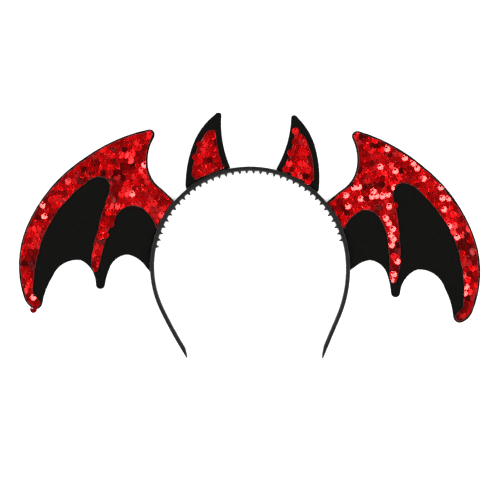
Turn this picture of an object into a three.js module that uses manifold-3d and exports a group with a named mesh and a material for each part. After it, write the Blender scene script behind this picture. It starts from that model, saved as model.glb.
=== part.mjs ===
// Devil horns headband with bat wings, lying flat on its back.
// Millimetres. +X is to the right as seen from the front, +Y points to the crown of the band,
// and +Z points up, out of the sequinned front. The origin is on the surface that it lies on,
// under the middle of the whole headband.

import * as THREE from 'three';
import { mergeVertices } from 'three/addons/utils/BufferGeometryUtils.js';
import Module from 'manifold-3d';

const wasm = await Module();
wasm.setup();

// Band
const crownRadius = 70; // outer face at mid width, measured from the centre of the crown
const bandThickness = 3.1;
const bandWidth = 8; // from the back edge, which lies down, to the front edge
const bandCrowning = 0.2; // the outer face is this much lower at both edges than at mid width
const bandEdge = 0.5; // chamfer along the strip's four edges
const chiselLength = 6; // bevel on the inner face of each end
const chiselEdge = 0.9; // thickness left at the very end
const bandEndRadius = 2.6; // rounded corners of each end, seen from the broad side

// Teeth
const toothCount = 37;
const toothPitch = 4.92; // along the inner face
const toothHeight = 1.8;
const toothFoot = 2.4;
const toothTip = 0.6;
const toothLength = 5; // across the width of the band

// Felt and sequin fabric
const feltThickness = 2.6;
const sequinThickness = 1.3; // sequin fabric with the discs that lie on it
const layerGap = 0.3; // between the fabric and the felt under it
const seatGap = 0.3; // between the band and what is glued to it
const wingRim = 1; // plain felt left round the sequin fabric of a wing
const wingTipLift = 0.5; // the outer end of a wing hangs to this height over the surface
const sheetMargin = 0.25; // a sheet runs this share of its reach past both ends before it is cut out

// Wing
const wingReach = 85; // from the outer face of the band to the outermost edge
const wingHeight = 150; // from the tip of the claw to the lowest tip
const fingerSway = 6.5; // on the left wing the sequin strip on the finger ends this much further out

// Horn
const hornLength = 37.7; // from the outer face of the band to the tip
const hornWidth = 32.5; // along the band

// Smoothness: the furthest that a straight facet may lie from its arc
const arcTolerance = 0.08;
const bandSteps = 68;
const seatFacets = 180;
const droopStations = 9;

const sequinRed = '#c41016';
const feltBlack = '#161616';
const plasticBlack = '#1e1e20';

// The two legs of the band, as it is sprung. Each goes on round the crown for crownTurn degrees from
// the top, then along a flatter arc, then straight. Radii and lengths are shares of crownRadius.
const legs = {
  left: { side: -1, crownTurn: 113.4, kneeRadius: 4.3, kneeTurn: 6.6, shin: 0.057 },
  right: { side: 1, crownTurn: 86, kneeRadius: 1.22, kneeTurn: 29, shin: 0.443 },
};

// Where each wing and horn is glued: side, degrees from the top of the crown to the middle of its
// root, how far it leans towards the crown in degrees, its size against the pattern, how far the
// pattern is set out from the band before its root is cut to it, and the sway of its finger strip.
const wingPlaces = [
  { name: 'wing_left', side: -1, fromTop: 67.6, lean: 2.9, size: 0.98, setOut: 1.2, sway: fingerSway },
  { name: 'wing_right', side: 1, fromTop: 73.1, lean: 0, size: 1, setOut: 0, sway: 0 },
];
const hornPlaces = [
  { name: 'horn_left', side: -1, fromTop: 22.9, lean: 2.8, size: 1.01, setOut: 0 },
  { name: 'horn_right', side: 1, fromTop: 30.6, lean: 0, size: 1, setOut: 0 },
];

// Outlines. Each row is a corner: out is measured away from the band and up towards the crown, both
// from the middle of the root. bow is how far the edge from this corner to the next one bows
// outward, as a share of the straight distance between them. The rows go round anticlockwise.

// Wing: out is a share of wingReach, up of wingHeight.
const wingRows = [
  { out: -0.106, up: -0.195, bow: -0.13 }, // foot of the root, inside the band's edge
  { out: 0.129, up: -0.151, bow: -0.16 }, // top of the inner scallop
  { out: 0.225, up: -0.253, bow: -0.035 },
  { out: 0.206, up: -0.328, bow: 0.52 }, // round tip of the finger
  { out: 0.272, up: -0.342, bow: -0.145 },
  { out: 0.471, up: -0.264, bow: -0.175 }, // top of the outer scallop
  { out: 0.638, up: -0.392, bow: -0.05 },
  { out: 0.627, up: -0.530, bow: 0.25 }, // lowest tip
  { out: 0.676, up: -0.565, bow: 0.1 },
  { out: 0.786, up: -0.534, bow: 0.088 }, // outer edge
  { out: 0.998, up: -0.227, bow: 0.076 },
  { out: 0.775, up: 0.191, bow: 0.052 },
  { out: 0.374, up: 0.434, bow: 0.25 }, // claw
  { out: 0.316, up: 0.413, bow: -0.075 },
  { out: 0.282, up: 0.284, bow: -0.125 },
  { out: 0.081, up: 0.195, bow: 0 }, // neck down to the root
  { out: -0.106, up: 0.155, bow: 0 },
];

// What is cut out of the sequin fabric of a wing, so that the felt shows as two webs with a strip
// on the finger between them. sway is the part that a corner takes in the sway of that strip.
const webRows = [
  { out: -0.2, up: -0.45, bow: 0, sway: 0 },
  { out: 0.2, up: -0.62, bow: 0, sway: 0 },
  { out: 0.518, up: -0.56, bow: 0, sway: 0 },
  { out: 0.728, up: -0.502, bow: 0.05, sway: 0 }, // inner edge of the outer strip
  { out: 0.84, up: -0.22, bow: 0.065, sway: 0 },
  { out: 0.678, up: 0.093, bow: 0.14, sway: 0 }, // top of the outer web
  { out: 0.55, up: 0.14, bow: 0.16, sway: 0 },
  { out: 0.473, up: 0.08, bow: -0.03, sway: 0 },
  { out: 0.408, up: -0.108, bow: -0.06, sway: 0.35 }, // outer edge of the finger strip
  { out: 0.282, up: -0.28, bow: -0.5, sway: 1 }, // round end of the finger strip
  { out: 0.228, up: -0.27, bow: 0.015, sway: 1 },
  { out: 0.312, up: -0.109, bow: 0.07, sway: 0.5 },
  { out: 0.309, up: 0.031, bow: 0.13, sway: 0.2 }, // top of the inner web
  { out: 0.2, up: 0.077, bow: 0.11, sway: 0 },
  { out: 0.012, up: 0.028, bow: 0, sway: 0 },
  { out: -0.1, up: -0.04, bow: 0, sway: 0 },
];

// Horn: out is a share of hornLength, up of hornWidth.
const hornRows = [
  { out: -0.212, up: -0.591, bow: 0.065 }, // outer foot
  { out: 0.695, up: 0.043, bow: 0.06 },
  { out: 0.981, up: 0.631, bow: 0.29 }, // tip
  { out: 0.955, up: 0.757, bow: -0.052 },
  { out: 0.149, up: 0.502, bow: 0 },
  { out: -0.212, up: 0.492, bow: 0 }, // inner foot
];

// Sequin fabric of a horn, on the same shares.
const hornPatchRows = [
  { out: 0.022, up: -0.286, bow: 0 },
  { out: 0.119, up: -0.314, bow: 0.065 },
  { out: 0.73, up: 0.295, bow: 0.2 },
  { out: 0.7, up: 0.515, bow: -0.05 },
  { out: 0.133, up: 0.385, bow: 0 },
  { out: 0.014, up: 0.375, bow: 0 },
];

const radians = THREE.MathUtils.degToRad;

// Closed geometry to solid, and back
function solid(geometry) {
  const bare = geometry.clone();
  bare.deleteAttribute('normal');
  bare.deleteAttribute('uv');
  const merged = mergeVertices(bare);
  const vertProperties = new Float32Array(merged.attributes.position.array);
  const triVerts = new Uint32Array(merged.index.array);
  return new wasm.Manifold(new wasm.Mesh({ numProp: 3, vertProperties, triVerts }));
}

function geometryOf(manifold) {
  const mesh = manifold.getMesh();
  const geometry = new THREE.BufferGeometry();
  geometry.setAttribute('position', new THREE.BufferAttribute(mesh.vertProperties, 3));
  geometry.setIndex(new THREE.BufferAttribute(mesh.triVerts, 1));
  geometry.computeVertexNormals();
  return geometry;
}

// Points of the arc from start to end, without its two ends. It bows to the right of the way from
// start to end by the given share of the chord.
function arcBetween(start, end, bow) {
  if (bow === 0) return [];
  const chord = new THREE.Vector2().subVectors(end, start);
  const length = chord.length();
  const halfAngle = 2 * Math.atan(2 * Math.abs(bow));
  const radius = length / (2 * Math.sin(halfAngle));
  const facetAngle = 2 * Math.acos(1 - Math.min(arcTolerance / radius, 0.5));
  const count = Math.ceil((2 * halfAngle) / facetAngle);
  const along = chord.clone().normalize();
  const right = new THREE.Vector2(along.y, -along.x).multiplyScalar(Math.sign(bow));
  const points = [];
  for (let step = 1; step < count; step += 1) {
    const angle = -halfAngle + (2 * halfAngle * step) / count;
    const forward = length / 2 + radius * Math.sin(angle);
    const aside = radius * (Math.cos(angle) - Math.cos(halfAngle));
    points.push(start.clone().addScaledVector(along, forward).addScaledVector(right, aside));
  }
  return points;
}

function outlineOf(rows, place) {
  return rows.flatMap((row, index) => {
    const start = place(row);
    const end = place(rows[(index + 1) % rows.length]);
    return [start, ...arcBetween(start, end, row.bow)];
  });
}

// Moves every edge of an anticlockwise outline inward by the same distance
function insetOutline(points, distance) {
  return points.map((point, index) => {
    const before = points[(index + points.length - 1) % points.length];
    const after = points[(index + 1) % points.length];
    const into = new THREE.Vector2().subVectors(point, before).normalize();
    const away = new THREE.Vector2().subVectors(after, point).normalize();
    const sum = new THREE.Vector2(-into.y - away.y, into.x + away.x);
    return point.clone().addScaledVector(sum, distance / (1 + into.dot(away)));
  });
}

// Upright block of an outline, from below the band to above it
function prismOf(points) {
  const margin = bandWidth;
  const geometry = new THREE.ExtrudeGeometry(new THREE.Shape(points), {
    depth: bandWidth + 2 * margin,
    bevelEnabled: false,
  });
  geometry.translate(0, 0, -margin);
  return solid(geometry);
}

// Sheet of even thickness that leaves the band at mid width and hangs by droop at its reach.
// lift raises its middle surface from there. It is wide enough for a wing.
function sheetOf(reach, droop, lift, thickness) {
  const stations = droop === 0 ? 1 : droopStations;
  const width = 2 * wingHeight;
  const start = -reach * sheetMargin;
  const length = reach * (1 + 2 * sheetMargin);
  const middle = (out) => bandWidth / 2 + lift - droop * Math.max(out / reach, 0) ** 2;
  const top = [];
  const bottom = [];
  for (let station = 0; station <= stations; station += 1) {
    const out = start + (length * station) / stations;
    top.unshift(new THREE.Vector2(out, middle(out) + thickness / 2));
    bottom.push(new THREE.Vector2(out, middle(out) - thickness / 2));
  }
  const geometry = new THREE.ExtrudeGeometry(new THREE.Shape([...bottom, ...top]), {
    depth: width,
    bevelEnabled: false,
  });
  geometry.rotateX(Math.PI / 2);
  geometry.translate(0, width / 2, 0);
  return solid(geometry);
}

// The room that the band needs in front of a root whose middle is at 0, 0
function bandRoom() {
  const radius = crownRadius + seatGap;
  const depth = 3 * bandWidth;
  const geometry = new THREE.CylinderGeometry(radius, radius, depth, seatFacets);
  geometry.rotateX(Math.PI / 2);
  geometry.translate(-crownRadius, 0, bandWidth / 2);
  return solid(geometry);
}

function turned(point, place) {
  return point
    .clone()
    .multiplyScalar(place.size)
    .rotateAround(new THREE.Vector2(), radians(place.lean))
    .add(new THREE.Vector2(place.setOut, 0))
    .multiply(new THREE.Vector2(1, place.side));
}

// Sets a mesh on the outer face of the band
function mounted(name, manifold, place, material) {
  const mesh = new THREE.Mesh(geometryOf(manifold), material);
  const angle = Math.PI / 2 - place.side * radians(place.fromTop);
  mesh.name = name;
  mesh.rotation.z = angle;
  mesh.position.set(crownRadius * Math.cos(angle), crownRadius * Math.sin(angle), 0);
  return mesh;
}

function feltMaterial() {
  return new THREE.MeshStandardMaterial({ color: feltBlack, roughness: 0.95, metalness: 0 });
}

function sequinMaterial() {
  return new THREE.MeshStandardMaterial({ color: sequinRed, roughness: 0.3, metalness: 0.4 });
}

function wing(place) {
  const reach = wingReach * place.size;
  const droop = bandWidth / 2 - feltThickness / 2 - wingTipLift;
  const corner = (row) => new THREE.Vector2(row.out * wingReach, row.up * wingHeight);
  const webCorner = (row) => corner(row).add(new THREE.Vector2((row.sway * place.sway) / place.size, 0));
  const edge = outlineOf(wingRows, corner);
  const rim = insetOutline(edge, wingRim);
  const web = outlineOf(webRows, webCorner);
  const onBand = (points) => prismOf(points.map((point) => turned(point, place)));
  const lift = (feltThickness + sequinThickness) / 2 + layerGap;
  const felt = sheetOf(reach, droop, 0, feltThickness).intersect(onBand(edge)).subtract(bandRoom());
  const sequins = sheetOf(reach, droop, lift, sequinThickness)
    .intersect(onBand(rim))
    .subtract(onBand(web))
    .subtract(bandRoom());
  return [
    mounted(place.name, felt, place, feltMaterial()),
    mounted(`${place.name}_sequins`, sequins, place, sequinMaterial()),
  ];
}

function horn(place) {
  const reach = hornLength * place.size;
  const corner = (row) => new THREE.Vector2(row.out * hornLength, row.up * hornWidth);
  const onBand = (rows) => prismOf(outlineOf(rows, corner).map((point) => turned(point, place)));
  const lift = (feltThickness + sequinThickness) / 2 + layerGap;
  const felt = sheetOf(reach, 0, 0, feltThickness).intersect(onBand(hornRows)).subtract(bandRoom());
  const sequins = sheetOf(reach, 0, lift, sequinThickness)
    .intersect(onBand(hornPatchRows))
    .subtract(bandRoom());
  return [
    mounted(place.name, felt, place, feltMaterial()),
    mounted(`${place.name}_sequins`, sequins, place, sequinMaterial()),
  ];
}

// One leg of the band's middle line, from the top of the crown to its end. heading is 0 at the top
// and grows as the leg turns down.
function legLine(leg) {
  const radius = crownRadius - bandThickness / 2;
  const kneeRadius = leg.kneeRadius * crownRadius;
  const crownEnd = radians(leg.crownTurn);
  const kneeEnd = crownEnd + radians(leg.kneeTurn);
  const crownArc = radius * crownEnd;
  const kneeArc = kneeRadius * radians(leg.kneeTurn);
  const outward = (heading) => new THREE.Vector2(Math.sin(heading), Math.cos(heading));
  const ahead = (heading) => new THREE.Vector2(Math.cos(heading), -Math.sin(heading));
  const kneeCentre = outward(crownEnd).multiplyScalar(radius - kneeRadius);
  const mirror = new THREE.Vector2(leg.side, 1);
  return {
    length: crownArc + kneeArc + leg.shin * crownRadius,
    at(distance) {
      let heading = distance / radius;
      let point = outward(heading).multiplyScalar(radius);
      if (distance > crownArc) {
        heading = Math.min(crownEnd + (distance - crownArc) / kneeRadius, kneeEnd);
        point = kneeCentre.clone().addScaledVector(outward(heading), kneeRadius);
        point.addScaledVector(ahead(heading), Math.max(distance - crownArc - kneeArc, 0));
      }
      return {
        point: point.multiply(mirror),
        ahead: ahead(heading).multiply(mirror),
        outward: outward(heading).multiply(mirror),
      };
    },
  };
}

const legLines = { left: legLine(legs.left), right: legLine(legs.right) };

class BandLine extends THREE.Curve {
  getPoint(share, target = new THREE.Vector3()) {
    const { left, right } = legLines;
    const distance = share * (left.length + right.length) - left.length;
    const { point } = distance < 0 ? left.at(-distance) : right.at(distance);
    return target.set(point.x, point.y, bandWidth / 2);
  }
}

// Section of the band: x across its width, y outward
function bandSection() {
  const half = bandWidth / 2;
  const inner = -bandThickness / 2;
  const shoulder = bandThickness / 2 - bandCrowning;
  const flat = half - bandEdge;
  const shape = new THREE.Shape();
  shape.moveTo(-flat, inner);
  shape.lineTo(flat, inner);
  shape.lineTo(half, inner + bandEdge);
  shape.lineTo(half, shoulder - bandEdge);
  const start = new THREE.Vector2(flat, shoulder);
  const end = new THREE.Vector2(-flat, shoulder);
  const crowning = arcBetween(start, end, bandCrowning / (2 * flat));
  [start, ...crowning, end].forEach((point) => shape.lineTo(point.x, point.y));
  shape.lineTo(-half, shoulder - bandEdge);
  shape.lineTo(-half, inner + bandEdge);
  return shape;
}

function tooth() {
  const sunk = bandEdge;
  const neckHeight = toothHeight / 3;
  const neckHalf = (toothFoot + toothTip) / 4;
  const shape = new THREE.Shape([
    new THREE.Vector2(toothFoot / 2, -sunk),
    new THREE.Vector2(toothFoot / 2, 0),
    new THREE.Vector2(neckHalf, neckHeight),
    new THREE.Vector2(toothTip / 2, toothHeight),
    new THREE.Vector2(-toothTip / 2, toothHeight),
    new THREE.Vector2(-neckHalf, neckHeight),
    new THREE.Vector2(-toothFoot / 2, 0),
    new THREE.Vector2(-toothFoot / 2, -sunk),
  ]);
  const geometry = new THREE.ExtrudeGeometry(shape, { depth: toothLength, bevelEnabled: false });
  geometry.translate(0, 0, (bandWidth - toothLength) / 2);
  return geometry;
}

// Places a shape drawn on two directions, extruded the same way to both sides of them
function cutter(points, depth, origin, xAxis, yAxis) {
  const geometry = new THREE.ExtrudeGeometry(new THREE.Shape(points), { depth, bevelEnabled: false });
  geometry.translate(0, 0, -depth / 2);
  const zAxis = new THREE.Vector3().crossVectors(xAxis, yAxis);
  geometry.applyMatrix4(new THREE.Matrix4().makeBasis(xAxis, yAxis, zAxis).setPosition(origin));
  return solid(geometry);
}

// The bevel on the inner face of an end, and its rounded corners
function endCuts(line) {
  const { point: end, ahead, outward } = line.at(line.length);
  const origin = new THREE.Vector3(end.x, end.y, bandWidth / 2);
  const forward = new THREE.Vector3(ahead.x, ahead.y, 0);
  const inward = new THREE.Vector3(-outward.x, -outward.y, 0);
  const upward = new THREE.Vector3(0, 0, 1);
  const past = bandThickness;
  const through = 2 * bandWidth;
  const innerFace = bandThickness / 2;
  const endFace = chiselEdge - innerFace;
  const slope = (innerFace - endFace) / chiselLength;
  const bevel = cutter(
    [
      new THREE.Vector2(-chiselLength, innerFace),
      new THREE.Vector2(past, endFace - slope * past),
      new THREE.Vector2(past, innerFace + past),
      new THREE.Vector2(-chiselLength, innerFace + past),
    ],
    through,
    origin,
    forward,
    inward,
  );
  const corner = (side) => {
    const high = bandWidth / 2;
    const round = arcBetween(
      new THREE.Vector2(-bandEndRadius, high),
      new THREE.Vector2(0, high - bandEndRadius),
      -(Math.SQRT2 - 1) / 2,
    );
    const points = [
      new THREE.Vector2(-bandEndRadius, high),
      ...round,
      new THREE.Vector2(0, high - bandEndRadius),
      new THREE.Vector2(past, high - bandEndRadius),
      new THREE.Vector2(past, high + past),
      new THREE.Vector2(-bandEndRadius, high + past),
    ];
    const flipped = points.map((point) => new THREE.Vector2(point.x, side * point.y));
    return cutter(flipped, through, origin, forward, upward);
  };
  return bevel.add(corner(1)).add(corner(-1));
}

function band() {
  const strip = new THREE.ExtrudeGeometry(bandSection(), {
    steps: bandSteps,
    extrudePath: new BandLine(),
    bevelEnabled: false,
  });
  const innerRadius = crownRadius - bandThickness;
  let body = solid(strip);
  for (let index = 0; index < toothCount; index += 1) {
    const angle = ((index - (toothCount - 1) / 2) * toothPitch) / innerRadius;
    const geometry = tooth();
    geometry.rotateZ(Math.PI - angle);
    geometry.translate(innerRadius * Math.sin(angle), innerRadius * Math.cos(angle), 0);
    body = body.add(solid(geometry));
  }
  body = body.subtract(endCuts(legLines.left)).subtract(endCuts(legLines.right));
  const material = new THREE.MeshStandardMaterial({
    color: plasticBlack,
    roughness: 0.4,
    metalness: 0,
  });
  const mesh = new THREE.Mesh(geometryOf(body), material);
  mesh.name = 'band';
  return mesh;
}

// The whole headband, moved so that the origin is under its middle
const headband = new THREE.Group();
headband.add(band(), ...wingPlaces.flatMap(wing), ...hornPlaces.flatMap(horn));
headband.updateMatrixWorld(true);
const room = new THREE.Box3().setFromObject(headband, true);
const middle = room.getCenter(new THREE.Vector3());
headband.position.set(-middle.x, -middle.y, -room.min.z);
headband.updateMatrixWorld(true);

export default headband;
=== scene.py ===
"""Devil horns headband with bat wings, lying on its back: finish, light and camera.

Metres. +X is to the right as seen from the front, +Y points to the crown of the band, and +Z up.
"""

import math
import random

import bmesh
import bpy
from mathutils import Matrix, Vector, noise
from mathutils.bvhtree import BVHTree
from mathutils.geometry import delaunay_2d_cdt, intersect_point_line


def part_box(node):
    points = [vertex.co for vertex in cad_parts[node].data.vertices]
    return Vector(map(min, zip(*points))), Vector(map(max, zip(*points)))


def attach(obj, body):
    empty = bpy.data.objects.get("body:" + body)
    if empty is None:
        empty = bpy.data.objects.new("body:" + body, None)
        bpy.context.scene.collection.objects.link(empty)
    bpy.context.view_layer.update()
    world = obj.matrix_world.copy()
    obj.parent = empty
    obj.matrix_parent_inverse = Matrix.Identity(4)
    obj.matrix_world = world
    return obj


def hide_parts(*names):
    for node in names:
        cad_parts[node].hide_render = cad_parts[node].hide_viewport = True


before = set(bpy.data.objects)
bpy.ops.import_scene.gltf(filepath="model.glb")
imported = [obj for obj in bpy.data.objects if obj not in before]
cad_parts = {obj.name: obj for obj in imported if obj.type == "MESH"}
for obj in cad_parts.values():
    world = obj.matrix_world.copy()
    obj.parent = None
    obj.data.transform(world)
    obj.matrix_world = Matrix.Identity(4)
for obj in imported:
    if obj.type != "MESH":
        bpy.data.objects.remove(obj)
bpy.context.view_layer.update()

MM = 0.001
UP = Vector((0, 0, 1))
# A height over everything, to look down from
LOOKOUT = 1
# A face whose normal rises by more than this belongs to a top
UPWARD = 0.5
# Corners nearer than this are one: of the solids' meshes, and of the drawn strip
SAME_CORNER = 0.01 * MM
SAME_SEAM = 0.005 * MM
CUT_TOLERANCE = 0.001 * MM
# Edges that turn by more than this are drawn sharp
SOFT_TURN = math.radians(60)
CLOTH_TURN = math.radians(35)
PLASTIC_TURN = math.radians(30)
NOISE_SEED = 5
noise.seed_set(NOISE_SEED)

# Band, as in the frame: the strip, its bevelled ends and its teeth
BAND_THICKNESS = 3.1 * MM
BAND_CROWNING = 0.2 * MM
BAND_EDGE = 0.6 * MM
EDGE_STEPS = 4
# Parting groove along the front edge: its place from the inner face, half its width, its depth
GROOVE_PLACE = 1.75 * MM
GROOVE_HALF = 0.3 * MM
GROOVE_DEPTH = 0.22 * MM
CHISEL_LENGTH = 6 * MM
CHISEL_EDGE = 0.9 * MM
END_RADIUS = 2.6 * MM
END_STEPS = 7
END_ROUNDING = 0.25 * MM
TOOTH_COUNT = 37
TOOTH_PITCH = 4.92 * MM
TOOTH_HEIGHT = 1.8 * MM
TOOTH_FOOT = 2.4 * MM
TOOTH_LENGTH = 5 * MM
TOOTH_EDGE = 0.12 * MM
TOOTH_EDGE_TURN = 0.5
# A tooth from its foot to its tip: height and width as shares of the whole height and of the foot
TOOTH_STEPS = ((0.1, 0.78), (0.5, 0.52), (1.0, 0.26))
# How much a tooth loses at each end along the band's width, as a share of the height reached
TOOTH_SLOPE = 0.3
# Steps of the sweep round the crown, round the flatter arc and down the straight end
CROWN_STEPS = 56
KNEE_STEPS = 14
SHIN_STEPS = 5
# Each leg: degrees round the crown, then a flatter arc, then straight. Shares of the crown's radius
LEGS = {
    "left": {"side": -1, "crown_turn": 113.4, "knee_radius": 4.3, "knee_turn": 6.6, "shin": 0.057},
    "right": {"side": 1, "crown_turn": 86, "knee_radius": 1.22, "knee_turn": 29, "shin": 0.443},
}

# Felt
FELT_VOXEL = 0.65 * MM
FELT_ROUNDING = 2
FELT_REGAIN = 0.35 * MM
FELT_WAVE = 0.35 * MM
FELT_WAVE_SIZE = 38 * MM
FELT_RIPPLE = 0.15 * FELT_WAVE
FELT_RIPPLE_SIZE = 9 * MM
# Distance from the band at which the felt is free to wave
FELT_FREE = 40 * MM
ROOT_REACH = 2.5 * MM
ROOT_PULL = 1.2 * MM
ROOT_GLUE = 0.03 * MM

# Sequin fabric and its discs
FABRIC_THICKNESS = 0.45 * MM
CUT_STEP = 1.2 * MM
CUT_FRAY = 0.9 * MM
FRAY_SIZE = 7 * MM
FINE_FRAY = 0.4
FINE_FRAY_SIZE = 2 * MM
CLOTH_GRID = 4 * MM
FUSED_EDGE = 0.2 * MM
DISC_RADIUS = 2.5 * MM
DISC_THICKNESS = 0.12 * MM
DISC_SIDES = 12
DISC_RIM = 0.45 * MM
DISC_CUP = 0.035 * MM
DISC_CREASE = math.radians(3)
HOLE_RADIUS = 0.55 * MM
HOLE_OFFSET = 1.45 * MM
ROW_PITCH = 3.95 * MM
DISC_PITCH = 3.8 * MM
DISC_JITTER = 0.45 * MM
DISC_LIFT = 0.4 * MM
DISC_STAGGER = 0.14 * MM
SHINGLE_TILT = math.radians(4.5)
GROUP_SIZE = 12 * MM
GROUP_TILT = math.radians(15)
LOOSE_TILT = math.radians(4)
LAMP_CLEARANCE = math.radians(5.5)
LEAN_TRIES = 16
GLINT_RISE = 0.25 * MM
RAISED_SHARE = 0.8
HOLE_SWING = math.radians(18)
TONE_DRIFT = 0.6
TONE_PATCH = 7 * MM
TONE_SPREAD = 0.2
# Painted shade darkens the discs' colour towards the lowest tips: where that starts, above the
# middle of the crown, over what height, and by how much
TIP_START = 30 * MM
TIP_FADE = 20 * MM
TIP_PAINTED_SHADE = 0.18
# A disc whose middle lies this far past the edge of the fabric is still sewn on, and cut with it
EDGE_REACH = 1.6 * MM
# The scissors miss this share of the discs at the edge, where felt shows at least this far past it
MISSED_SHARE = 0.1
WEB_REACH = 3.5 * MM
# A disc is cut three times, at its middle and this far to each side, so that the cut turns as the
# edge does
CUT_TURN_REACH = 1.5 * MM

# Each cut-out: the rectangles that its felt and its facing are cut from, the turn of the rows of
# discs and of each disc's hole in degrees, the side on which discs are left whole past the edge, the
# depth of its colour, and the seed of its disorder
CUT_OUTS = {
    "wing_left": {
        "felt_cut": (121.1 * MM, 96.7 * MM),
        "facing_cut": (139.5 * MM, 68.5 * MM),
        "row_turn": 2,
        "hole_turn": -8,
        "whole_side": 0,
        "tone": 0.49,
        "seed": 11,
    },
    "wing_right": {
        "felt_cut": (123.5 * MM, 98.7 * MM),
        "facing_cut": (147.7 * MM, 71.4 * MM),
        "row_turn": 6,
        "hole_turn": 30,
        "whole_side": 0,
        "tone": 0.46,
        "seed": 23,
    },
    "horn_left": {
        "felt_cut": (49 * MM, 32.7 * MM),
        "facing_cut": (31.4 * MM, 23 * MM),
        "row_turn": 8,
        "hole_turn": 0,
        "whole_side": 0,
        "tone": 0.55,
        "seed": 37,
    },
    "horn_right": {
        "felt_cut": (47.3 * MM, 32.4 * MM),
        "facing_cut": (31.1 * MM, 22.8 * MM),
        "row_turn": -4,
        "hole_turn": 0,
        "whole_side": -1,
        "tone": 0.55,
        "seed": 41,
    },
}

# Where single discs catch the small lamp, in millimetres from the middle of the crown
GLINTS = {
    "wing_left": ((-72.1, 74.1), (-80.5, 52.9), (-142.2, 41.0), (-143.7, 46.3), (-153.0, -18.1)),
    "wing_right": (
        (98.3, 79.4), (110.2, 70.3), (114.8, 70.1), (118.8, 65.5), (92.4, 66.4), (104.2, 60.9),
        (124.3, 57.7), (72.9, 54.0), (78.1, 53.1), (78.4, 45.9), (86.6, 45.6), (90.6, 46.6),
        (94.8, 46.8), (98.8, 48.0), (99.0, 40.1), (97.6, 31.3), (97.5, 27.4), (99.5, 21.4),
        (100.0, 16.5), (101.2, 12.4), (102.4, -1.1), (99.5, -7.7), (137.3, 44.4), (136.1, 36.6),
        (141.8, 22.0), (145.5, 13.5), (151.6, -20.0), (69.4, 40.7), (134.8, 50.3),
        (70.3, 47.3), (103.4, 52.1), (141.0, 43.2), (95.8, 19.0), (99.3, -13.8), (148.8, -22.9),
        (89.0, 50.0),
    ),
    "horn_left": (),
    "horn_right": (),
}
# Discs that hang on past the edge of their facing, in the same millimetres, and how far at most
STRAY_REACH = 2.2 * MM
STRAY_DISCS = {
    "wing_left": ((-152.2, -24.8),),
    "wing_right": (),
    "horn_left": (),
    "horn_right": ((35.1, 93.3),),
}

# Photograph: the band leans this much in the frame, which is 350 mm wide
LEAN = math.radians(2)
VIEW_WIDTH = 350 * MM
VIEW_ABOVE_CROWN_CENTRE = 11.55 * MM
CAMERA_HEIGHT = 2.4

# Lamps: place, diameter and power. The one overhead is what the discs mirror when they lie flat
SMALL_LAMP = {
    "place": Vector((0.10, 0.44, 2.2)),
    "size": 0.2,
    "power": 4.8,
    "colour": (1, 0.97, 0.88),
}
SOFT_LAMPS = {
    "soft_left": {"place": Vector((-2.0, 0.55, 1.95)), "size": 2, "power": 70},
    "soft_right": {"place": Vector((2.0, 0.45, 1.95)), "size": 2, "power": 66},
    "soft_low": {"place": Vector((0.1, -1.75, 2.2)), "size": 1.5, "power": 46},
    "soft_top": {"place": Vector((0, -0.1, 2.9)), "size": 0.9, "power": 2.1},
}
WORLD_LIGHT = 0.18
FLOOR_SIZE = 6
FLOOR_GLOW = 0.45


def crown():
    """Centre and outer radius of the crown's arc."""
    low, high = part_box("band")
    radius = (high[0] - low[0]) / 2
    return Vector(((low[0] + high[0]) / 2, high[1] - radius, 0)), radius


CROWN_CENTRE, CROWN_RADIUS = crown()


class Value:
    """A shader socket that can be added and multiplied: each operator adds a Math node."""

    def __init__(self, finish, socket):
        self.finish = finish
        self.socket = socket

    def math(self, operation, other):
        inputs = {0: self, 1: other}
        return self.finish.node("ShaderNodeMath", {"operation": operation}, inputs)

    def __add__(self, other):
        return self.math("ADD", other)

    def __mul__(self, other):
        return self.math("MULTIPLY", other)

    __radd__ = __add__
    __rmul__ = __mul__


class Finish:
    """One material: a Principled shader and the nodes that feed it."""

    def __init__(self, name, constants):
        self.material = bpy.data.materials.new(name)
        self.material.use_nodes = True
        self.nodes = self.material.node_tree.nodes
        self.links = self.material.node_tree.links
        self.shader = self.nodes["Principled BSDF"]
        for socket, value in constants.items():
            self.shader.inputs[socket].default_value = value

    def node(self, kind, settings=None, inputs=None, output=0):
        """Adds a node: its settings first, then the values or links of its sockets."""
        node = self.nodes.new(kind)
        for name, value in (settings or {}).items():
            if name == "stops":
                self.set_stops(node.color_ramp, value)
            else:
                setattr(node, name, value)
        for name, value in (inputs or {}).items():
            self.join(value, node.inputs[name])
        return Value(self, node.outputs[output])

    @staticmethod
    def set_stops(ramp, stops):
        while len(ramp.elements) < len(stops):
            ramp.elements.new(0.5)
        for element, (position, colour) in zip(ramp.elements, stops):
            element.position = position
            element.color = (*colour, 1)

    def join(self, value, socket):
        if isinstance(value, Value):
            self.links.new(value.socket, socket)
        else:
            socket.default_value = value

    def place(self):
        return self.node("ShaderNodeTexCoord", output="Object")

    def grain(self, size, detail=2.0, stretch=(1, 1, 1), distortion=0.0):
        """Noise from 0 to 1 whose bumps are about the given size."""
        spread = self.node("ShaderNodeMapping", {}, {"Vector": self.place(), "Scale": stretch})
        inputs = {"Vector": spread, "Scale": 1 / size, "Detail": detail, "Distortion": distortion}
        return self.node("ShaderNodeTexNoise", {}, inputs)

    def ramp(self, value, stops):
        return self.node("ShaderNodeValToRGB", {"stops": stops}, {"Fac": value})

    def mix(self, factor, first, second):
        settings = {"data_type": "RGBA"}
        return self.node("ShaderNodeMix", settings, {0: factor, 6: first, 7: second}, output=2)

    def feed(self, socket, value):
        self.join(value, self.shader.inputs[socket])

    def bump(self, height, distance):
        inputs = {"Height": height, "Distance": distance, "Strength": 1}
        self.feed("Normal", self.node("ShaderNodeBump", {}, inputs))


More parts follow.
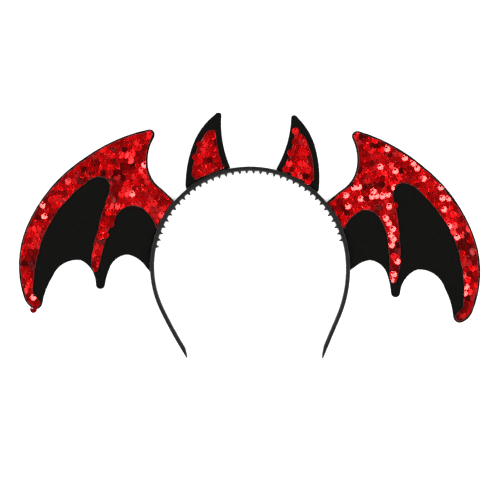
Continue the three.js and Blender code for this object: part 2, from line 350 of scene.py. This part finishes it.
def plastic_finish():
    finish = Finish("moulded_plastic", {"Specular IOR Level": 0.2})
    drift = finish.grain(9 * MM, detail=3)
    shades = ((0.3, (0.0025, 0.0025, 0.0025)), (0.7, (0.0055, 0.0055, 0.0055)))
    finish.feed("Base Color", finish.ramp(drift, shades))
    finish.feed("Roughness", 0.32 + 0.14 * finish.grain(1.2 * MM, detail=4))
    finish.bump(finish.grain(0.5 * MM, detail=2), 0.015 * MM)
    return finish.material


def felt_finish():
    finish = Finish("black_felt", {"Specular IOR Level": 0.06})
    fibres = finish.grain(0.35 * MM, detail=6, stretch=(1, 0.35, 1), distortion=1.4)
    crossing = finish.grain(0.4 * MM, detail=5, stretch=(0.35, 1, 1), distortion=1.1)
    clumps = finish.grain(4 * MM, detail=3)
    nap = 0.5 * fibres + 0.5 * crossing
    shades = ((0.35, (0.0015, 0.0015, 0.0013)), (0.62, (0.0036, 0.0036, 0.003)))
    stray = ((0.66, (0, 0, 0)), (0.74, (1, 1, 1)))
    pale = finish.ramp(fibres, stray)
    body = finish.ramp(0.8 * nap + 0.2 * clumps, shades)
    finish.feed("Base Color", finish.mix(pale, body, (0.008, 0.008, 0.0075, 1)))
    finish.feed("Roughness", 0.86 + 0.12 * nap)
    finish.bump(0.75 * nap + 0.25 * clumps, 0.28 * MM)
    return finish.material


def fabric_finish():
    """The knitted red cloth that the discs are sewn on."""
    finish = Finish("red_knit", {"Specular IOR Level": 0.1})
    stitch = {"Vector": finish.place(), "Scale": 0.32 / MM}
    across = finish.node("ShaderNodeTexWave", {"bands_direction": "X"}, stitch)
    down = finish.node("ShaderNodeTexWave", {"bands_direction": "Y"}, stitch)
    knit = 0.5 * across + 0.5 * down
    shades = ((0.2, (0.02, 0.0002, 0.0004)), (0.9, (0.09, 0.001, 0.0015)))
    finish.feed("Base Color", finish.ramp(knit, shades))
    finish.feed("Roughness", 0.7 + 0.2 * finish.grain(0.6 * MM))
    finish.bump(knit, 0.12 * MM)
    return finish.material


def edge_finish():
    """The melted rim where the fabric was cut."""
    finish = Finish("fused_edge", {"Specular IOR Level": 0.4})
    melt = finish.grain(1.6 * MM, detail=3)
    shades = ((0.35, (0.04, 0.001, 0.002)), (0.62, (0.17, 0.018, 0.022)))
    finish.feed("Base Color", finish.ramp(melt, shades))
    finish.feed("Roughness", 0.3 + 0.3 * melt)
    finish.bump(finish.grain(0.5 * MM), 0.08 * MM)
    return finish.material


def disc_finish():
    """Metallised red discs under a clear skin. tone is each disc's depth of colour: its own, lowered
    by painted shade towards the lowest tips, and full on the discs that catch the lamp as a painted
    highlight.
    """
    constants = {"Coat Roughness": 0.1, "Coat IOR": 1.5, "Specular IOR Level": 0.1}
    finish = Finish("red_sequin", constants)
    tone = finish.node("ShaderNodeAttribute", {"attribute_name": "tone"}, output="Fac")
    shades = (
        (0.0, (0.105, 0.0, 0.0002)),
        (0.5, (0.56, 0.0005, 0.0014)),
        (1.0, (0.8, 0.0023, 0.0045)),
    )
    finish.feed("Base Color", finish.ramp(tone, shades))
    finish.feed("Metallic", 0.88 + 0.08 * finish.grain(1.5 * MM))
    finish.feed("Roughness", 0.2 + 0.08 * finish.grain(0.8 * MM, detail=3))
    finish.feed("Coat Weight", 0.2 + 0.08 * finish.grain(3 * MM))
    finish.bump(finish.grain(1.4 * MM, detail=1), 0.004 * MM)
    return finish.material


def piece_of(name, bm, material, sharp_turn):
    """Turns a bmesh into a piece with its finish."""
    mesh = bpy.data.meshes.new(name)
    bm.to_mesh(mesh)
    bm.free()
    piece = bpy.data.objects.new(name, mesh)
    bpy.context.scene.collection.objects.link(piece)
    finish_piece(piece, material, sharp_turn)
    return piece


def finish_piece(piece, material, sharp_turn):
    piece.data.materials.clear()
    piece.data.materials.append(material)
    piece.data.shade_smooth()
    piece.data.set_sharp_from_angle(angle=sharp_turn)
    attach(piece, "root")


def applied(piece):
    """Makes a piece's modifiers part of its mesh."""
    depsgraph = bpy.context.evaluated_depsgraph_get()
    mesh = bpy.data.meshes.new_from_object(piece.evaluated_get(depsgraph))
    piece.modifiers.clear()
    piece.data = mesh


def node_copy(node):
    """The node's solid as a bmesh with its corners joined."""
    bm = bmesh.new()
    bm.from_mesh(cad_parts[node].data)
    bmesh.ops.remove_doubles(bm, verts=bm.verts, dist=SAME_CORNER)
    return bm


def band_section():
    """The strip's section as radius and height: round edges, crowned outside, grooved in front."""
    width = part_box("band")[1][2]
    inner = CROWN_RADIUS - BAND_THICKNESS + BAND_EDGE
    outer = CROWN_RADIUS - BAND_CROWNING - BAND_EDGE
    low, high = BAND_EDGE, width - BAND_EDGE
    groove = CROWN_RADIUS - BAND_THICKNESS + GROOVE_PLACE
    between = {
        (inner, high): [
            (groove - GROOVE_HALF, width),
            (groove, width - GROOVE_DEPTH),
            (groove + GROOVE_HALF, width),
        ],
        (outer, high): [(CROWN_RADIUS, width / 2)],
    }
    corners = {(inner, low): 270, (inner, high): 180, (outer, high): 90, (outer, low): 0}
    points = []
    for (x, y), first in corners.items():
        for step in range(EDGE_STEPS + 1):
            angle = math.radians(first - 90 * step / EDGE_STEPS)
            points.append((x + BAND_EDGE * math.cos(angle), y + BAND_EDGE * math.sin(angle)))
        points += between.get((x, y), [])
    return points


def leg_turns(leg):
    """The two arcs of a leg: centre, degrees and steps of each. Then its last heading."""
    crown_turn = math.radians(leg["crown_turn"])
    knee_turn = math.radians(leg["knee_turn"])
    outward = Vector((leg["side"] * math.sin(crown_turn), math.cos(crown_turn), 0))
    middle_radius = CROWN_RADIUS - BAND_THICKNESS / 2
    knee_centre = CROWN_CENTRE + outward * (middle_radius - leg["knee_radius"] * CROWN_RADIUS)
    turns = ((CROWN_CENTRE, crown_turn, CROWN_STEPS), (knee_centre, knee_turn, KNEE_STEPS))
    return turns, crown_turn + knee_turn


def drawn_on(bm, edges, move):
    """Extrudes an open end of the strip by a move. Gives its new edges and corners."""
    drawn = bmesh.ops.extrude_edge_only(bm, edges=edges)["geom"]
    verts = [item for item in drawn if isinstance(item, bmesh.types.BMVert)]
    bmesh.ops.translate(bm, verts=verts, vec=move)
    return edges_of(drawn), verts


def edges_of(geom):
    return [item for item in geom if isinstance(item, bmesh.types.BMEdge)]


def sweep_leg(bm, section, leg):
    """Carries the band's section down one leg, shapes its end and closes it."""
    side = leg["side"]
    turns, heading = leg_turns(leg)
    loop = section
    for centre, turn, steps in turns:
        spun = bmesh.ops.spin(
            bm,
            geom=loop,
            cent=centre,
            axis=UP,
            angle=-side * turn,
            steps=steps,
            use_duplicate=False,
        )
        loop = spun["geom_last"]
    ahead = Vector((side * math.cos(heading), -math.sin(heading), 0))
    outward = Vector((side * math.sin(heading), math.cos(heading), 0))
    straight = leg["shin"] * CROWN_RADIUS - END_RADIUS
    quarter = [math.pi / 2 * step / END_STEPS for step in range(END_STEPS + 1)]
    turned = [END_RADIUS * math.sin(angle) for angle in quarter]
    moves = [straight / SHIN_STEPS] * SHIN_STEPS
    moves += [far - near for near, far in zip(turned, turned[1:])]
    edges = edges_of(loop)
    for move in moves:
        edges, verts = drawn_on(bm, edges, ahead * move)
    shape_end(bm, middle_of(verts), ahead, outward)
    edges, verts = drawn_on(bm, edges, ahead * END_ROUNDING)
    middle = middle_of(verts)
    for vert in verts:
        off = vert.co - middle
        vert.co -= off.normalized() * min(END_ROUNDING, off.length / 2)
    bmesh.ops.edgeloop_fill(bm, edges=edges)


def middle_of(verts):
    return sum((vert.co for vert in verts), Vector()) / len(verts)


def shape_end(bm, end, ahead, outward):
    """Rounds an end's corners and slopes its inner face, by moving the strip's corners there."""
    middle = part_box("band")[1][2] / 2
    for vert in bm.verts:
        off = vert.co - end
        if off.length > 2 * CHISEL_LENGTH:
            continue
        back = -off.dot(ahead)
        if back < CHISEL_LENGTH:
            depth = BAND_THICKNESS / 2 - off.dot(outward)
            share = 1 - back / CHISEL_LENGTH
            vert.co += outward * depth * share * (1 - CHISEL_EDGE / BAND_THICKNESS)
        if back < END_RADIUS:
            fall = END_RADIUS - math.sqrt(max(END_RADIUS**2 - (END_RADIUS - back) ** 2, 0))
            vert.co.z = middle + (vert.co.z - middle) * (1 - fall / middle)


def band_strip():
    """The bent strip: its section swept down both legs."""
    bm = bmesh.new()
    verts = [bm.verts.new(CROWN_CENTRE + Vector((0, radius, z))) for radius, z in band_section()]
    edges = [bm.edges.new((vert, verts[index - 1])) for index, vert in enumerate(verts)]
    for leg in LEGS.values():
        sweep_leg(bm, verts + edges, leg)
    bmesh.ops.remove_doubles(bm, verts=bm.verts, dist=SAME_SEAM)
    bmesh.ops.recalc_face_normals(bm, faces=bm.faces)
    return bm


def band_teeth():
    """The row of small flared teeth along the inner face."""
    inner = CROWN_RADIUS - BAND_THICKNESS
    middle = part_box("band")[1][2] / 2
    teeth = bmesh.new()
    for index in range(TOOTH_COUNT):
        angle = (index - (TOOTH_COUNT - 1) / 2) * TOOTH_PITCH / inner
        foot = Vector((math.sin(angle) * inner, math.cos(angle) * inner, middle))
        turn = Matrix.Rotation(math.pi - angle, 4, "Z")
        tooth = band_tooth()
        tooth.transform(Matrix.Translation(CROWN_CENTRE + foot) @ turn)
        add_to(teeth, tooth)
    return teeth


def band_tooth():
    """One tooth on a foot that is sunk into the band, rising along +Y."""
    tooth = bmesh.new()
    bmesh.ops.create_cube(tooth, size=1)
    bmesh.ops.scale(tooth, vec=(TOOTH_FOOT, BAND_EDGE, TOOTH_LENGTH), verts=tooth.verts)
    top = max(tooth.faces, key=lambda face: face.calc_center_median().y)
    for height, spread in TOOTH_STEPS:
        top = bmesh.ops.extrude_discrete_faces(tooth, faces=[top])["faces"][0]
        rise = BAND_EDGE / 2 + height * TOOTH_HEIGHT
        half = spread * TOOTH_FOOT / 2
        end = TOOTH_LENGTH / 2 - TOOTH_SLOPE * height * TOOTH_HEIGHT
        for vert in top.verts:
            vert.co = Vector((math.copysign(half, vert.co.x), rise, math.copysign(end, vert.co.z)))
    bmesh.ops.bevel(
        tooth,
        geom=[edge for edge in tooth.edges if edge.calc_face_angle(0) > TOOTH_EDGE_TURN],
        offset=TOOTH_EDGE,
        segments=2,
        affect="EDGES",
        profile=0.5,
        material=-1,
    )
    return tooth


def add_to(whole, part):
    """Adds a bmesh to another and frees it."""
    mesh = bpy.data.meshes.new("part")
    part.to_mesh(mesh)
    part.free()
    whole.from_mesh(mesh)
    bpy.data.meshes.remove(mesh)


def build_band(material):
    """The strip and its teeth, joined into one piece."""
    band = piece_of("hairband", band_strip(), material, PLASTIC_TURN)
    teeth = piece_of("hairband_teeth", band_teeth(), material, PLASTIC_TURN)
    union = band.modifiers.new("teeth", "BOOLEAN")
    union.operation = "UNION"
    union.solver = "MANIFOLD"
    union.object = teeth
    applied(band)
    bpy.data.objects.remove(teeth)
    finish_piece(band, material, PLASTIC_TURN)
    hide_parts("band")


def pull_to_band(place):
    """Draws the glued root of a cut-out up against the band's outer face."""
    out = (place - CROWN_CENTRE).xy
    past = out.length - CROWN_RADIUS
    if past > ROOT_REACH:
        return place
    pulled = max(past - ROOT_PULL * (1 - past / ROOT_REACH), ROOT_GLUE)
    moved = CROWN_CENTRE.xy + out * ((CROWN_RADIUS + pulled) / out.length)
    return Vector((moved.x, moved.y, place.z))


def build_felt(node, material):
    """A felt cut-out with a pressed, rounded edge and a slight wave in it."""
    felt = piece_of(f"{node}_felt", node_copy(node), material, SOFT_TURN)
    remesh = felt.modifiers.new("even", "REMESH")
    remesh.mode = "VOXEL"
    remesh.voxel_size = FELT_VOXEL
    applied(felt)
    bm = bmesh.new()
    bm.from_mesh(felt.data)
    for _ in range(FELT_ROUNDING):
        bmesh.ops.smooth_vert(
            bm, verts=bm.verts, factor=0.5, use_axis_x=True, use_axis_y=True, use_axis_z=True
        )
    bm.normal_update()
    for vert in bm.verts:
        vert.co.xy += vert.normal.xy * FELT_REGAIN
        vert.co = pull_to_band(vert.co)
        vert.co.z += felt_wave(vert.co)
    bm.to_mesh(felt.data)
    bm.free()
    finish_piece(felt, material, SOFT_TURN)
    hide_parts(node)
    return felt


def felt_wave(place):
    """How far the felt stands off its flat form: a ripple, and a wave that grows off the band."""
    free = clamped(((place - CROWN_CENTRE).xy.length - CROWN_RADIUS) / FELT_FREE)
    wave = noise.noise(Vector((place.x, place.y, 0)) / FELT_WAVE_SIZE)
    ripple = noise.noise(Vector((place.x, place.y, 0.5)) / FELT_RIPPLE_SIZE)
    return free * FELT_WAVE * wave + FELT_RIPPLE * ripple


def clamped(share):
    return min(max(share, 0), 1)


class Facing:
    """The top of a sequinned facing: where it lies and where its edge runs."""

    def __init__(self, node):
        self.low, self.high = (Vector(corner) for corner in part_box(f"{node}_sequins"))
        felt = node_copy(node)
        self.felt = BVHTree.FromBMesh(felt)
        felt.free()
        whole = node_copy(f"{node}_sequins")
        below = [face for face in whole.faces if face.normal.z < UPWARD]
        bmesh.ops.delete(whole, geom=below, context="FACES")
        self.rounds = [frayed(points) for points in edge_rounds(whole)]
        self.segments = [
            (points[index - 1], point)
            for points in self.rounds
            for index, point in enumerate(points)
        ]
        self.tree = BVHTree.FromBMesh(whole)
        whole.free()
        self.bm = self.filled()

    def filled(self):
        """The cloth inside the cut edge, as small triangles at the facing's own height."""
        places = [point for points in self.rounds for point in points]
        ties = []
        for points in self.rounds:
            first, count = len(ties), len(points)
            ties += [(first + index, first + (index + 1) % count) for index in range(count)]
        across, along = (math.ceil(side / CLOTH_GRID) for side in (self.high - self.low).xy)
        for column in range(across):
            for row in range(along):
                x = self.low.x + (column + 0.5 * (row % 2)) * CLOTH_GRID
                y = self.low.y + row * CLOTH_GRID
                spot = Vector((x, y, 0))
                if self.covers(spot) and (self.nearest_edge(spot) - spot).xy.length > CUT_STEP:
                    places.append(Vector((x, y, self.height(spot))))
        flat = [place.xy for place in places]
        kept, _, faces, origins, _, _ = delaunay_2d_cdt(flat, ties, [], 1, CUT_TOLERANCE)
        bm = bmesh.new()
        for spot, origin in zip(kept, origins):
            z = places[origin[0]].z if origin else self.height(spot)
            bm.verts.new((*spot, z))
        verts = list(bm.verts)
        for face in sorted(in_order(face) for face in faces):
            bm.faces.new([verts[index] for index in face])
        loose = [vert for vert in bm.verts if not vert.link_faces]
        bmesh.ops.delete(bm, geom=loose, context="VERTS")
        bm.normal_update()
        return bm

    def height(self, spot):
        """The facing's own height over a spot."""
        return self.tree.ray_cast(Vector((spot.x, spot.y, LOOKOUT)), -UP)[0].z

    def covers(self, spot):
        """Whether the fabric lies there: a line towards +X then crosses its edge an odd number
        of times.
        """
        crossings = 0
        for start, end in self.segments:
            if (start.y > spot.y) != (end.y > spot.y):
                share = (spot.y - start.y) / (end.y - start.y)
                crossings += start.x + share * (end.x - start.x) > spot.x
        return crossings % 2 == 1

    def nearest_edge(self, spot):
        """The nearest point of the edge, seen from above."""
        points = []
        for start, end in self.segments:
            share = intersect_point_line(spot.xy, start.xy, end.xy)[1]
            points.append(start.lerp(end, min(max(share, 0), 1)))
        return min(points, key=lambda point: (point.xy - spot.xy).length)

    def way_out(self, spot):
        """The edge point nearest to a spot, and the level direction out of the fabric there."""
        edge = self.nearest_edge(spot)
        outward = Vector((*(edge - spot).xy, 0)).normalized()
        return edge, outward if self.covers(spot) else -outward

    def shows_felt(self, place):
        """Whether the felt lies under a place, past the fabric's edge."""
        felt = self.felt.ray_cast(Vector((place.x, place.y, LOOKOUT)), -UP)[0]
        return felt is not None and not self.covers(place)

    def area(self):
        return sum(face.calc_area() for face in self.bm.faces)


def in_order(face):
    """A face's corner numbers, turned to start from the lowest."""
    first = face.index(min(face))
    return face[first:] + face[:first]


def edge_rounds(bm):
    """An open sheet's edge as ordered rounds of points, with the sheet on their left."""
    follow = {}
    for edge in bm.edges:
        if edge.is_boundary:
            loop = edge.link_loops[0]
            follow[loop.vert] = loop.link_loop_next.vert
    rounds = []
    while follow:
        start, vert = follow.popitem()
        points = [start.co.copy()]
        while vert != start:
            points.append(vert.co.copy())
            vert = follow.pop(vert)
        rounds.append(points)
    return rounds


def frayed(points):
    """A cut edge that strays a little from its line, always inward."""
    fine = []
    for index, point in enumerate(points):
        before = points[index - 1]
        steps = max(1, round((point - before).length / CUT_STEP))
        fine += [before.lerp(point, step / steps) for step in range(steps)]
    strayed = []
    for index, point in enumerate(fine):
        along = fine[(index + 1) % len(fine)] - fine[index - 1]
        inward = UP.cross(along).normalized()
        fine_bite = FINE_FRAY * noise.noise(point / FINE_FRAY_SIZE)
        bite = max(noise.noise(point / FRAY_SIZE) + fine_bite, 0)
        strayed.append(point + inward * CUT_FRAY * bite)
    return strayed


def layer_drop(node):
    """From the facing's top down to the felt under it."""
    facing_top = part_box(f"{node}_sequins")[1][2]
    felt_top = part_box(node)[1][2]
    return facing_top - felt_top


def build_fabric(node, facing, material):
    """The red cloth itself, thin, lying on the felt."""
    bm = facing.bm.copy()
    drop = layer_drop(node) - FABRIC_THICKNESS
    for vert in bm.verts:
        vert.co.z -= drop
        vert.co.z += felt_wave(vert.co)
    bmesh.ops.solidify(bm, geom=bm.faces, thickness=FABRIC_THICKNESS)
    bmesh.ops.recalc_face_normals(bm, faces=bm.faces)
    fabric = piece_of(f"{node}_fabric", bm, material, CLOTH_TURN)
    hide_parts(f"{node}_sequins")
    return fabric


def build_edge(node, facing, material):
    """The melted rim along the fabric's cut edge, as a thin bead."""
    curve = bpy.data.curves.new(f"{node}_rim", "CURVE")
    curve.dimensions = "3D"
    curve.bevel_depth = FUSED_EDGE
    curve.bevel_resolution = 1
    drop = layer_drop(node) - FABRIC_THICKNESS
    for points in facing.rounds:
        spline = curve.splines.new("POLY")
        spline.points.add(len(points) - 1)
        spline.use_cyclic_u = True
        for point, place in zip(spline.points, points):
            point.co = (place.x, place.y, place.z - drop + felt_wave(place), 1)
    rim = bpy.data.objects.new(f"{node}_rim", curve)
    bpy.context.scene.collection.objects.link(rim)
    depsgraph = bpy.context.evaluated_depsgraph_get()
    mesh = bpy.data.meshes.new_from_object(rim.evaluated_get(depsgraph))
    bpy.data.objects.remove(rim)
    bm = bmesh.new()
    bm.from_mesh(mesh)
    bmesh.ops.remove_doubles(bm, verts=bm.verts, dist=SAME_CORNER)
    bmesh.ops.recalc_face_normals(bm, faces=bm.faces)
    bpy.data.meshes.remove(mesh)
    return piece_of(f"{node}_rim", bm, material, SOFT_TURN)


def disc_pattern():
    """One sequin: a thin disc, slightly domed, with its sewing hole off the middle, towards +Y."""
    bm = bmesh.new()
    bmesh.ops.create_circle(bm, segments=DISC_SIDES, radius=DISC_RADIUS)
    hole = bmesh.ops.create_circle(bm, segments=DISC_SIDES, radius=HOLE_RADIUS)["verts"]
    bmesh.ops.translate(bm, verts=hole, vec=(0, HOLE_OFFSET, 0))
    bmesh.ops.bridge_loops(bm, edges=bm.edges)
    bmesh.ops.recalc_face_normals(bm, faces=bm.faces)
    bmesh.ops.solidify(bm, geom=bm.faces, thickness=DISC_THICKNESS)
    bmesh.ops.recalc_face_normals(bm, faces=bm.faces)
    top = [face for face in bm.faces if face.normal.z > UPWARD]
    bmesh.ops.inset_region(
        bm, faces=top, thickness=DISC_RIM, depth=DISC_CUP, use_even_offset=True
    )
    mesh = bpy.data.meshes.new("sequin_pattern")
    bm.to_mesh(mesh)
    bm.free()
    return mesh


def disc_matrix(place, normal, turn):
    """Stands a disc at a place, with its hole towards the turned +Y."""
    side = Vector((math.cos(turn), math.sin(turn), 0))
    side = (side - normal * side.dot(normal)).normalized()
    up = normal.cross(side)
    return Matrix.Translation(place) @ Matrix((side, up, normal)).transposed().to_4x4()


def towards_lamp(place):
    """The normal of a disc there that shows the small lamp to the camera."""
    view = (camera_place() - place).normalized()
    lamp = (SMALL_LAMP["place"] - place).normalized()
    return (view + lamp).normalized()


def loose_normal(draw, turn, place):
    """A disc's normal: it leans over the row below, with its neighbours and by itself."""
    group = noise.noise_vector(place / GROUP_SIZE) * GROUP_TILT
    shingle = Vector((-math.sin(turn), math.cos(turn), 0)) * SHINGLE_TILT
    for _ in range(LEAN_TRIES):
        own = Vector((draw.gauss(0, LOOSE_TILT), draw.gauss(0, LOOSE_TILT), 0))
        lean = (group + shingle + own).xy
        normal = Vector((lean.x, lean.y, 1)).normalized()
        if normal.angle(towards_lamp(place)) > LAMP_CLEARANCE:
            break
    return normal


def disc_places(node, facing, draw):
    """Middles of a facing's discs in staggered rows: on it, just past its edge, and stray ones."""
    turn = math.radians(CUT_OUTS[node]["row_turn"])
    middle = (facing.low + facing.high) / 2
    reach = (facing.high - facing.low).xy.length / 2
    rows = math.ceil(reach / ROW_PITCH)
    columns = math.ceil(reach / DISC_PITCH)
    strays = [stray_place(facing, crown_place(*spot)) for spot in STRAY_DISCS[node]]
    inside, past = [], []
    for row in range(-rows, rows + 1):
        for column in range(-columns, columns + 1):
            along = (column + 0.5 * (row % 2)) * DISC_PITCH
            along += draw.uniform(-1, 1) * DISC_JITTER
            over = row * ROW_PITCH + draw.uniform(-1, 1) * DISC_JITTER
            x = middle.x + along * math.cos(turn) - over * math.sin(turn)
            y = middle.y + along * math.sin(turn) + over * math.cos(turn)
            spot = Vector((x, y, draw.uniform(0, DISC_STAGGER)))
            edge = facing.nearest_edge(spot)
            if facing.covers(spot):
                inside.append(spot + UP * facing.height(spot))
            elif (edge - spot).xy.length < EDGE_REACH:
                past.append(spot + UP * edge.z)
    return inside, past, strays


def stray_place(facing, spot):
    """Middle of a disc that hangs on past the edge, near enough for its hole to be sewn there."""
    edge = facing.nearest_edge(spot)
    off = Vector((*(spot - edge).xy, 0))
    return edge + off.normalized() * min(off.length, STRAY_REACH)


def crown_place(x, y):
    """A place given in millimetres from the middle of the crown."""
    return CROWN_CENTRE + Vector((x, y, 0)) * MM


def nearest_to(spot, places):
    """The index of the place that lies nearest to a spot."""
    return min(range(len(places)), key=lambda index: (places[index] - spot).xy.length)


def build_discs(node, facing, pattern, material):
    """All sequins of one facing, joined: whole ones, and ones cut along the fabric's edge."""
    way = CUT_OUTS[node]
    draw = random.Random(way["seed"])
    turn = math.radians(way["row_turn"])
    inside, past, strays = disc_places(node, facing, draw)
    glints = {nearest_to(crown_place(*spot), inside) for spot in GLINTS[node]}
    sink = DISC_LIFT + FABRIC_THICKNESS - layer_drop(node)
    bm = bmesh.new()
    for index, spot in enumerate(inside + past + strays):
        glint = index in glints
        rise = GLINT_RISE if glint and draw.random() < RAISED_SHARE else 0
        place = Vector((spot.x, spot.y, spot.z + sink + rise + felt_wave(spot)))
        normal = towards_lamp(place) if glint else loose_normal(draw, turn, place)
        spin = math.radians(way["hole_turn"]) + draw.gauss(0, HOLE_SWING)
        drift = TONE_DRIFT * noise.noise(place / TONE_PATCH)
        # Painted shade: the colour turns darker towards the lowest tips
        fall = clamped((TIP_START - (place - CROWN_CENTRE).y) / TIP_FADE)
        tone = way["tone"] + drift - TIP_PAINTED_SHADE * fall + draw.gauss(0, TONE_SPREAD)
        disc = bmesh.new()
        disc.from_mesh(pattern)
        disc.transform(disc_matrix(place, normal, spin))
        if index < len(inside) + len(past):
            trim_disc(disc, facing, spot, way["whole_side"], draw.random() < MISSED_SHARE)
        # Discs that catch the small lamp also get the brightest colour: a painted highlight
        layer = disc.verts.layers.float.new("tone")
        for vert in disc.verts:
            vert[layer] = 1 if glint else clamped(tone)
        add_to(bm, disc)
    return piece_of(f"{node}_discs", bm, material, DISC_CREASE)


def trim_disc(disc, facing, spot, whole_side, missed):
    """Cuts off what stands past the fabric's edge, unless the scissors missed the disc."""
    edge, outward = facing.way_out(spot)
    if facing.covers(spot):
        clear = (edge - spot).xy.length > DISC_RADIUS
        whole = whole_side * outward.x > 0
        if clear or whole or (missed and facing.shows_felt(spot + outward * WEB_REACH)):
            return
    along = UP.cross(outward)
    for step in (-CUT_TURN_REACH, 0, CUT_TURN_REACH):
        cut_disc(disc, *facing.way_out(spot + along * step))


def cut_disc(disc, edge, outward):
    """Cuts a disc along the fabric's edge."""
    cut = bmesh.ops.bisect_plane(
        disc,
        geom=[*disc.verts, *disc.edges, *disc.faces],
        dist=CUT_TOLERANCE,
        plane_co=edge,
        plane_no=outward,
        clear_outer=True,
    )
    bmesh.ops.holes_fill(disc, edges=edges_of(cut["geom_cut"]), sides=0)


def build_facing(node, pattern, finishes):
    """The sequinned layer on a cut-out: its cloth, the cloth's melted rim and its discs."""
    facing = Facing(node)
    fabric = build_fabric(node, facing, finishes["fabric"])
    rim = build_edge(node, facing, finishes["edge"])
    discs = build_discs(node, facing, pattern, finishes["disc"])
    facing.area()


def felt_area(node):
    bm = node_copy(node)
    area = sum(face.calc_area() for face in bm.faces if face.normal.z > UPWARD)
    bm.free()
    return area


def build_cut_out(node, pattern, finishes):
    """A felt wing or horn with its sequinned facing."""
    felt = build_felt(node, finishes["felt"])
    felt_area(node)
    build_facing(node, pattern, finishes)


def camera_place():
    offset = Vector((math.sin(LEAN), math.cos(LEAN), 0)) * VIEW_ABOVE_CROWN_CENTRE
    return CROWN_CENTRE + offset + UP * CAMERA_HEIGHT


def add_camera():
    data = bpy.data.cameras.new("camera")
    data.sensor_width = 36
    data.lens = data.sensor_width * CAMERA_HEIGHT / VIEW_WIDTH
    data.clip_start = 0.05
    camera = bpy.data.objects.new("camera", data)
    camera.location = camera_place()
    camera.rotation_euler = (0, 0, -LEAN)
    bpy.context.scene.collection.objects.link(camera)
    bpy.context.scene.camera = camera


def add_light(name, lamp):
    """A round area lamp that shines on the middle of the headband."""
    data = bpy.data.lights.new(name, "AREA")
    data.shape = "DISK"
    data.size = lamp["size"]
    data.energy = lamp["power"]
    data.color = lamp.get("colour", (1, 1, 1))
    light = bpy.data.objects.new(name, data)
    light.location = lamp["place"]
    light.rotation_euler = (-lamp["place"]).to_track_quat("-Z", "Y").to_euler()
    bpy.context.scene.collection.objects.link(light)


def add_studio():
    """A white floor under soft lamps, and the small lamp that the discs catch."""
    bm = bmesh.new()
    bmesh.ops.create_grid(bm, x_segments=1, y_segments=1, size=FLOOR_SIZE)
    white = {"Base Color": (0.93, 0.93, 0.93, 1), "Roughness": 0.9}
    glow = {"Emission Color": (1, 1, 1, 1), "Emission Strength": FLOOR_GLOW}
    finish = Finish("floor", white | glow)
    mesh = bpy.data.meshes.new("floor")
    bm.to_mesh(mesh)
    bm.free()
    mesh.materials.append(finish.material)
    floor = bpy.data.objects.new("floor", mesh)
    bpy.context.scene.collection.objects.link(floor)
    for name, lamp in SOFT_LAMPS.items():
        add_light(name, lamp)
    add_light("small_lamp", SMALL_LAMP)
    world = bpy.data.worlds.new("studio")
    world.use_nodes = True
    background = world.node_tree.nodes["Background"]
    background.inputs["Color"].default_value = (1, 1, 1, 1)
    background.inputs["Strength"].default_value = WORLD_LIGHT
    bpy.context.scene.world = world
    bpy.context.scene.view_settings.view_transform = "Standard"


add_camera()
add_studio()
finishes = {
    "felt": felt_finish(),
    "fabric": fabric_finish(),
    "edge": edge_finish(),
    "disc": disc_finish(),
}
build_band(plastic_finish())
sequin = disc_pattern()
for cut_out in CUT_OUTS:
    build_cut_out(cut_out, sequin, finishes)
